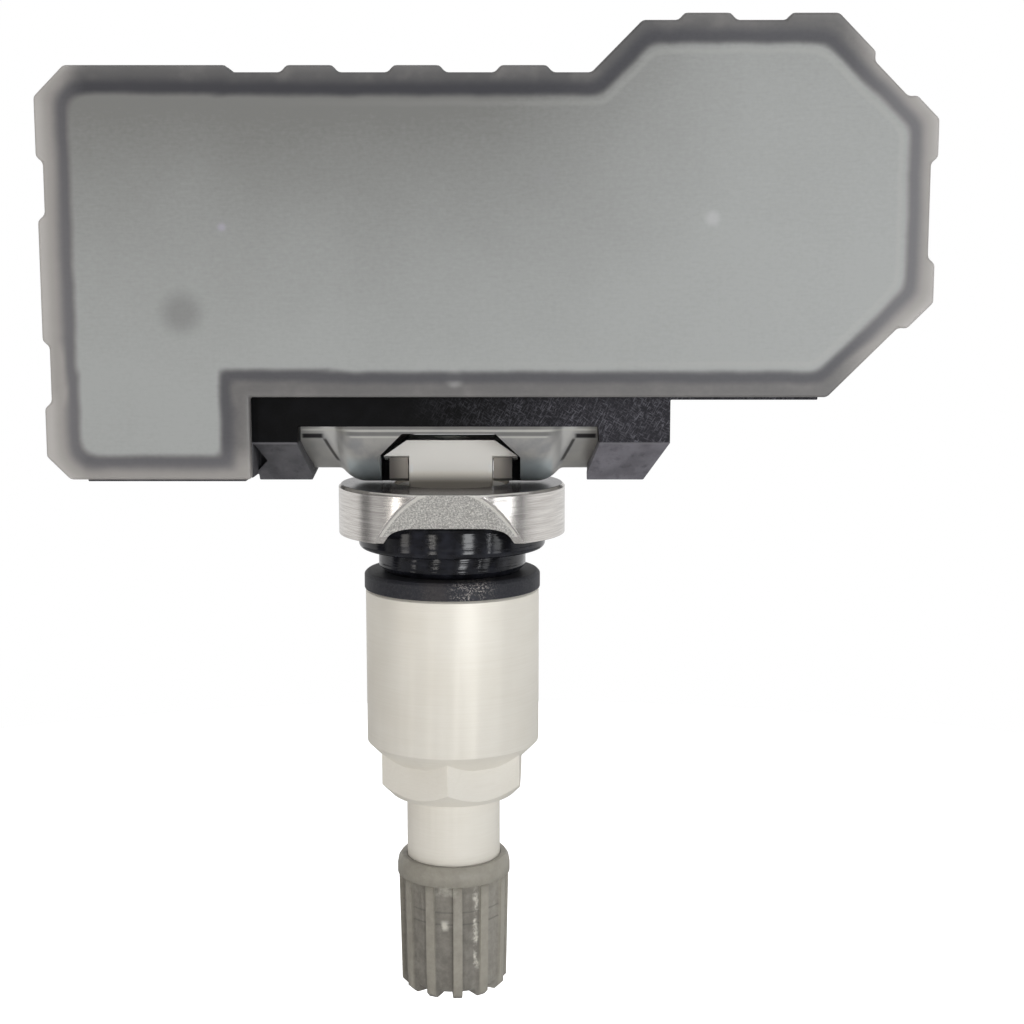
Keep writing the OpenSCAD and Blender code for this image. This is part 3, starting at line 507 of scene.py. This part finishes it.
def turned_steel():
    """Turned collar: fine rings, a sand-rough flat with painted rim highlights, and a painted dark
    top.
    """
    finish = Finish("turned_steel")
    radius, _, z = finish.round_place()
    _, y, _ = finish.parts(finish.place())
    rings = finish.streaks(3 * MM, 0.08 * MM, 4)
    bands = finish.streaks(7 * MM, 0.4 * MM, 2)
    sand = finish.noise(0.13 * MM, 3, 0.8)

    # The flat lies inside the collar's turned radius, on its front
    facing = y.fall(-7.2 * MM, -7 * MM) * z.rise(1.9 * MM, 2 * MM) * z.fall(5.6 * MM, 5.64 * MM)
    flat = radius.fall(9.7 * MM, 9.78 * MM) * facing
    # Painted highlight along the rim of the flat
    rim = radius.band(9.68 * MM, 0.04 * MM, 0.06 * MM) * facing
    # Painted reflection: the top is dark, as it mirrors the dark housing
    crown = z.rise(5.62 * MM, 5.65 * MM)

    turned = finish.mix(
        srgb(200, 195, 190), srgb(250, 246, 241), rings.rise(0.3, 0.7) * 0.75 + bands * 0.25)
    grains = finish.mix(srgb(168, 165, 161), srgb(246, 244, 238), sand.rise(0.38, 0.66))
    crown_mottle_place = finish.vector(radius / (4 * MM), y / (0.7 * MM), z / MM)
    crown_mottle = finish.noise(1, 3, 0.6, crown_mottle_place).rise(0.4, 0.7)
    crown_reflection_tone = finish.mix(srgb(56, 53, 58), srgb(98, 92, 95), crown_mottle)
    colour = finish.coat(
        turned, (grains, flat), (srgb(246, 243, 236), rim * 0.8), (crown_reflection_tone, crown * 0.95))
    return finish.set(
        base_color=colour, metallic=0.8 - 0.25 * flat - 0.15 * crown,
        roughness=(0.15 + 0.12 * rings) * (1 - flat) + (0.55 - 0.12 * sand) * flat,
        normal=finish.bump(rings * (1 - flat) * 0.3 + sand * flat, 0.02 * MM))


def glossy_rubber():
    """Black rubber seal with a polished skin."""
    finish = Finish("glossy_rubber", ior=1.5, specular_ior_level=0.36)
    rings = finish.streaks(12 * MM, 0.3 * MM, 2)
    fine = finish.noise(0.2 * MM, 3)
    tone = finish.noise(1.2 * MM, 3)
    return finish.set(
        base_color=finish.mix(srgb(15, 15, 18), srgb(38, 39, 46), tone.rise(0.3, 0.8)),
        roughness=0.09 + 0.07 * fine, normal=finish.bump(rings, 0.05 * MM))


def sparkling_black():
    """Black washer with a patch of bright grains in its surface."""
    finish = Finish("sparkling_black", ior=1.5, specular_ior_level=0.3)
    x, _, _ = finish.parts(finish.place())
    cells = finish.speckle(0.09 * MM)
    lumps = finish.noise(0.3 * MM, 4, 0.7)
    patch = finish.noise(1 * MM, 2).rise(0.3, 0.6) * x.band(1.9 * MM, 0.7 * MM, 1.6 * MM)
    sparks = cells.rise(0.6, 0.95) * (0.05 + 0.95 * patch)
    brown = x.band(-1.2 * MM, 0.4 * MM, 1.2 * MM) * lumps * 0.5
    colour = finish.coat(
        srgb(26, 27, 32), (srgb(56, 57, 63), lumps), (srgb(84, 76, 72), brown),
        (srgb(170, 163, 158), sparks * 0.8))
    return finish.set(
        base_color=colour, roughness=0.5 - 0.2 * sparks,
        normal=finish.bump(lumps + sparks, 0.02 * MM))


def cap_plastic():
    """Grey, slightly see-through plastic, paler on the ribs, with painted glints between them."""
    finish = Finish("cap_plastic", ior=1.46, specular_ior_level=0.4)
    radius, angle, z = finish.round_place()
    milk = finish.noise(0.8 * MM, 5, 0.7)
    grain = finish.noise(0.25 * MM, 4)
    turn = finish.noise(1, 4, 0.6, finish.vector(angle * 3, z / (3 * MM), 0.0))
    # Painted light: lighter towards the right side of the front
    right = angle.rise(radians(-80), radians(-40)) * 0.5
    ribs = radius.rise(4.4 * MM, 4.75 * MM)
    valleys = 1 - ribs
    upper_ring = z.band(-31.9 * MM, 0.03 * MM, 0.08 * MM)
    rings = upper_ring.most(z.band(-33.0 * MM, 0.03 * MM, 0.08 * MM))

    # Painted glints: a long streak and a dot between the ribs, and a patch under the rim
    wavy = angle + (finish.noise(0.9 * MM, 4) - 0.5) * 0.22
    streak = wavy.band(radians(-63), 0.012, 0.05) * z.band(-33.5 * MM, 3.2 * MM, 1 * MM)
    streak = streak * milk.rise(0.38, 0.62)
    dot = wavy.band(radians(-98), 0.02, 0.09) * z.band(-33.1 * MM, 0.15 * MM, 0.5 * MM) * 0.8
    patch = wavy.band(radians(-97), 0.1, 0.15) * z.band(-29.9 * MM, 0.3 * MM, 0.4 * MM)
    patch = patch * milk.rise(0.35, 0.7) * 0.4
    glints = (streak * valleys).most(dot * valleys).most(patch)

    colour = finish.coat(
        srgb(112, 108, 101),
        (srgb(158, 154, 145), milk.rise(0.3, 0.75) * 0.5 + turn * 0.25 + right),
        (srgb(170, 165, 152), ribs * (0.35 + 0.45 * milk)),
        (srgb(90, 88, 84), rings * valleys * 0.5),
        (srgb(226, 222, 210), glints))
    return finish.set(
        base_color=colour, roughness=0.34 + 0.14 * grain,
        normal=finish.bump(grain + milk, 0.02 * MM))


def plain_metal(name, dark, light, rough, size=0.5 * MM):
    """Small metal parts: a tone that wanders and a fine scratch relief."""
    finish = Finish(name, metallic=1.0)
    tone = finish.noise(size, 4)
    fine = finish.noise(size / 6, 3)
    return finish.set(
        base_color=finish.mix(dark, light, tone.rise(0.3, 0.7)), roughness=rough + 0.12 * fine,
        normal=finish.bump(fine, 0.004 * MM))


def plain_polymer(name, dark, light, rough, size=0.6 * MM):
    """Small moulded, printed and rubber parts: a mottled tone and a fine grain."""
    finish = Finish(name, ior=1.5)
    tone = finish.noise(size, 4)
    grain = finish.noise(size / 5, 3)
    return finish.set(
        base_color=finish.mix(dark, light, tone.rise(0.3, 0.7)), roughness=rough + 0.15 * grain,
        normal=finish.bump(grain, 0.01 * MM))


def dress(piece, material):
    """Gives a piece its material."""
    piece.data.materials.clear()
    piece.data.materials.append(material)


def new_piece(name, shape, body, material):
    """A new object from a bmesh, smooth between its sharp edges, riding on a body."""
    mesh = bpy.data.meshes.new(name)
    shape.to_mesh(mesh)
    shape.free()
    for face in mesh.polygons:
        face.use_smooth = True
    mesh.set_sharp_from_angle(angle=SHARP_ANGLE)
    piece = bpy.data.objects.new(name, mesh)
    bpy.context.scene.collection.objects.link(piece)
    dress(piece, material)
    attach(piece, body)
    return piece


def everything(shape):
    """All that a mesh has, for the operators that cut it."""
    return shape.verts[:] + shape.edges[:] + shape.faces[:]


def recess(shape, thread):
    """Turns a mesh's skin down to the root of a thread."""
    for height in (thread.low, thread.high):
        for place in (height, height + RECESS_STEP):
            bmesh.ops.bisect_plane(
                shape, geom=everything(shape), plane_co=(0, 0, place), plane_no=(0, 0, 1))
    inside = RECESS_STEP / 2
    for vertex in shape.verts:
        away = vertex.co.xy.length
        in_thread = thread.low + inside < vertex.co.z < thread.high + inside
        if in_thread and away > thread.root:
            vertex.co.xy *= thread.root / away


def solid_copy(name, node, body, material, recesses=()):
    """A copy of a solid with its flat faces joined and its threads turned down."""
    shape = bmesh.new()
    shape.from_mesh(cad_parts[node].data)
    bmesh.ops.remove_doubles(shape, verts=shape.verts, dist=SOLID_DOUBLES)
    bmesh.ops.dissolve_limit(shape, angle_limit=FLAT_ANGLE, verts=shape.verts, edges=shape.edges)
    for thread in recesses:
        recess(shape, thread)
    piece = new_piece(name, shape, body, material)
    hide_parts(node)
    return piece


def edged_copy(name, node, body, material, edge, recesses=()):
    """A copy of a solid whose edges are rounded, with the doubles of the rounding merged."""
    piece = solid_copy(name, node, body, material, recesses)
    bevel = piece.modifiers.new("edges", "BEVEL")
    bevel.width = edge
    bevel.segments = 2
    bevel.limit_method = "ANGLE"
    bevel.angle_limit = BEVEL_ANGLE
    bevel.harden_normals = True
    weld = piece.modifiers.new("doubles", "WELD")
    weld.merge_threshold = BEVEL_DOUBLES


def thread_ridge(name, thread, material):
    """Right-handed ridge that stands on a recessed part of the valve."""
    shape = bmesh.new()
    foot = thread.root - THREAD_SUNK
    half_foot = thread.pitch * THREAD_HALF_FOOT
    half_crest = thread.pitch * THREAD_HALF_CREST
    start = thread.low - thread.pitch
    crest = thread.crest
    corners = [(foot, -half_foot), (crest, -half_crest), (crest, half_crest), (foot, half_foot)]
    face = shape.faces.new([shape.verts.new((across, 0, start + up)) for across, up in corners])
    turns = int((thread.high - thread.low) / thread.pitch) + 3
    bmesh.ops.spin(
        shape, geom=[face, *face.edges, *face.verts], cent=(0, 0, 0), axis=(0, 0, 1),
        angle=2 * pi * turns, steps=THREAD_STEPS * turns, dvec=(0, 0, thread.pitch / THREAD_STEPS))
    for height, side in ((thread.low, -1), (thread.high, 1)):
        cut = bmesh.ops.bisect_plane(
            shape, geom=everything(shape), plane_co=(0, 0, height), plane_no=(0, 0, side),
            clear_outer=True)
        rim = [item for item in cut["geom_cut"] if isinstance(item, bmesh.types.BMEdge)]
        bmesh.ops.holes_fill(shape, edges=rim)
    bmesh.ops.recalc_face_normals(shape, faces=shape.faces)
    new_piece(name, shape, "valve", material)


def stage_light(name, turn, rise, width, height, level, tint):
    """A soft lamp, placed by its angles from the front of the object, as bright as level."""
    lamp = bpy.data.lights.new(name, "AREA")
    lamp.color = tint
    lamp.shape = "RECTANGLE"
    lamp.size, lamp.size_y = width, height
    lamp.energy = level * pi * width * height
    holder = bpy.data.objects.new(name, lamp)
    turn, rise = radians(turn), radians(rise)
    way = Vector((sin(turn) * cos(rise), -cos(turn) * cos(rise), sin(rise)))
    holder.location = LAMP_TARGET + way * LAMP_AWAY
    holder.rotation_euler = (-way).to_track_quat("-Z", "Y").to_euler()
    bpy.context.scene.collection.objects.link(holder)


def make_camera():
    camera = bpy.data.objects.new("camera", bpy.data.cameras.new("camera"))
    camera.data.sensor_width = CAMERA_SENSOR
    camera.data.lens = CAMERA_LENS
    camera.data.clip_start = CAMERA_NEAR
    camera.location = CAMERA_PLACE
    camera.rotation_euler = (CAMERA_TILT, 0, 0)
    bpy.context.scene.collection.objects.link(camera)
    bpy.context.scene.camera = camera


def make_surround():
    """Room that is white to the camera: dim in front, bright behind, with a dark flag each side."""
    world = bpy.data.worlds.new("surround")
    bpy.context.scene.world = world
    world.use_nodes = True
    graph = Graph(world.node_tree)
    across, depth, _ = graph.parts(graph.node("ShaderNodeTexCoord", output="Generated"))
    turn = across.math("ARCTAN2", depth * -1)
    back = turn.math("ABSOLUTE").rise(ROOM_BACK_FROM, ROOM_BACK_FULL)
    flags = turn.band(*FLAG_LEFT).most(turn.band(*FLAG_RIGHT))
    seen = graph.node("ShaderNodeLightPath", output="Is Camera Ray")
    room = graph.coat(ROOM_FRONT, (ROOM_BACK, back), (FLAG_LEVEL, flags), (WHITE, seen))
    graph.put(graph.nodes["Background"].inputs["Color"], room)


def make_floor():
    """Pale floor well below the cap, plain white to the camera."""
    shape = bmesh.new()
    bmesh.ops.create_circle(shape, cap_ends=True, segments=64, radius=FLOOR_RADIUS)
    bmesh.ops.translate(shape, verts=shape.verts, vec=(0, 0, FLOOR_Z))
    mesh = bpy.data.meshes.new("floor")
    shape.to_mesh(mesh)
    shape.free()
    floor = bpy.data.objects.new("floor", mesh)
    bpy.context.scene.collection.objects.link(floor)
    finish = Finish("floor_paint", roughness=0.9, emission_color=WHITE)
    mirrored = finish.node("ShaderNodeLightPath", output="Is Glossy Ray")
    seen = finish.node("ShaderNodeLightPath", output="Is Camera Ray")
    paint = finish.mix(FLOOR_PAINT, FLOOR_MIRRORED, mirrored)
    dress(floor, finish.set(base_color=paint, emission_strength=seen))


make_camera()
make_surround()
make_floor()
for lamp in LAMPS:
    stage_light(*lamp)
bpy.context.scene.view_settings.view_transform = "Standard"

# Pieces that show, each in place of its solid
anodised = champagne_aluminium("valve_anodised", 0.1, paint_head_light=True)
edged_copy("cover_plate", "cover", "sensor", frosted_cover(), 0.22 * MM)
edged_copy("housing_shell", "housing", "sensor", black_moulding(), 0.15 * MM)
edged_copy("swivel_hoop", "hoop", "sensor", stamped_steel(), 0.14 * MM)
edged_copy(
    "valve_body", "valve_stem", "valve", anodised, 0.12 * MM,
    (SHANK_THREAD, TIP_THREAD))
thread_ridge("shank_thread", SHANK_THREAD, anodised)
thread_ridge("tip_thread", TIP_THREAD, anodised)
edged_copy("steel_collar", "collar", "valve", turned_steel(), 0.1 * MM)
edged_copy("rubber_grommet", "grommet", "valve", glossy_rubber(), 0.05 * MM)
edged_copy("black_washer", "washer", "washer", sparkling_black(), 0.08 * MM)
edged_copy(
    "sleeve_nut", "nut", "nut", champagne_aluminium("nut_anodised", 0.3), 0.1 * MM)
edged_copy("dust_cap", "cap", "cap", cap_plastic(), 0.1 * MM)

# Spring of the valve core, which shortens as its pin is pushed in
spring_wire = plain_metal("spring_wire", srgb(150, 152, 156), srgb(190, 191, 194), 0.3)
spring = solid_copy("core_coil", "core_spring", "valve", spring_wire)
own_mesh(spring)

# Solids inside the body, the valve and the cap, which keep their meshes
brass = plain_metal("turned_brass", srgb(178, 142, 70), srgb(214, 182, 108), 0.28)
nickel = plain_metal("nickel_strip", srgb(178, 178, 174), srgb(214, 213, 208), 0.25)
chip = plain_polymer("chip_moulding", srgb(30, 31, 34), srgb(48, 49, 53), 0.5)
seal = plain_polymer("seal_rubber", srgb(22, 22, 23), srgb(38, 38, 40), 0.6)
INNER = {
    "circuit_board": plain_polymer("board_mask", srgb(22, 82, 48), srgb(36, 108, 62), 0.35, 2 * MM),
    "coin_cell": plain_metal("cell_can", srgb(184, 186, 188), srgb(216, 217, 218), 0.22, 2 * MM),
    "cell_tab_front": nickel,
    "cell_tab_back": nickel,
    "pressure_sensor": chip,
    "radio_chip": chip,
    "port_seal": seal,
    "cap_seal": seal,
    "wake_coil": plain_polymer("coil_wire", srgb(96, 56, 30), srgb(134, 80, 44), 0.4),
    "crystal": plain_metal("crystal_can", srgb(170, 172, 176), srgb(206, 207, 210), 0.3),
    "capacitors": plain_polymer("fired_ceramic", srgb(150, 108, 66), srgb(186, 142, 94), 0.45),
    "antenna": brass,
    "core_body": brass,
    "core_pin": brass,
    "core_cup": brass,
    "core_seal": plain_polymer("core_polymer", srgb(110, 42, 30), srgb(142, 62, 46), 0.5),
}
for node, material in INNER.items():
    dress(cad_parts[node], material)
